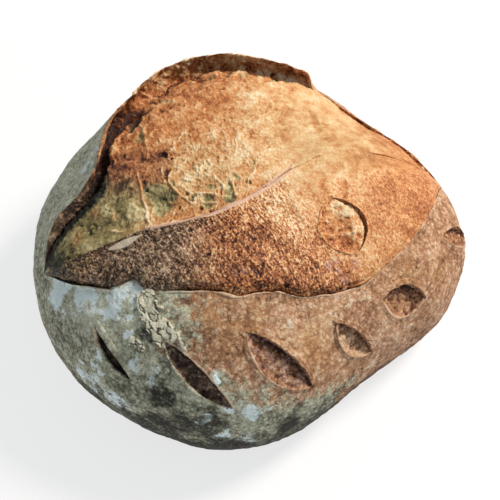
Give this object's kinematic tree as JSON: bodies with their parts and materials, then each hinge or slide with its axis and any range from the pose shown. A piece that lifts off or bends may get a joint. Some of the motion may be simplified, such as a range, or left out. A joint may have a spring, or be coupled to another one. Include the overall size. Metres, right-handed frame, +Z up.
{
  "type": "sourdough loaf",
  "caption": "Round hearth-baked sourdough loaf, torn wide open along its long score with a standing crust ear, a row of leaf cuts and a flat base.",
  "frame": {"origin": "middle of the bottom of the loaf's box, on the plane of its flat base", "axes": "+Z up; +X to the right along the long opening, seen from the side with the leaf cuts; +Y away from that side, towards the ear"},
  "size_m": [0.2308, 0.2198, 0.1064],
  "materials": {
    "crust": "dry baked crust, matt, golden brown with pale flour",
    "torn_crumb": "rough torn crumb toasted from cream to dark brown, matt"
  },
  "bodies": {
    "root": {"loaf": "crust"}
  },
  "joints": []
}
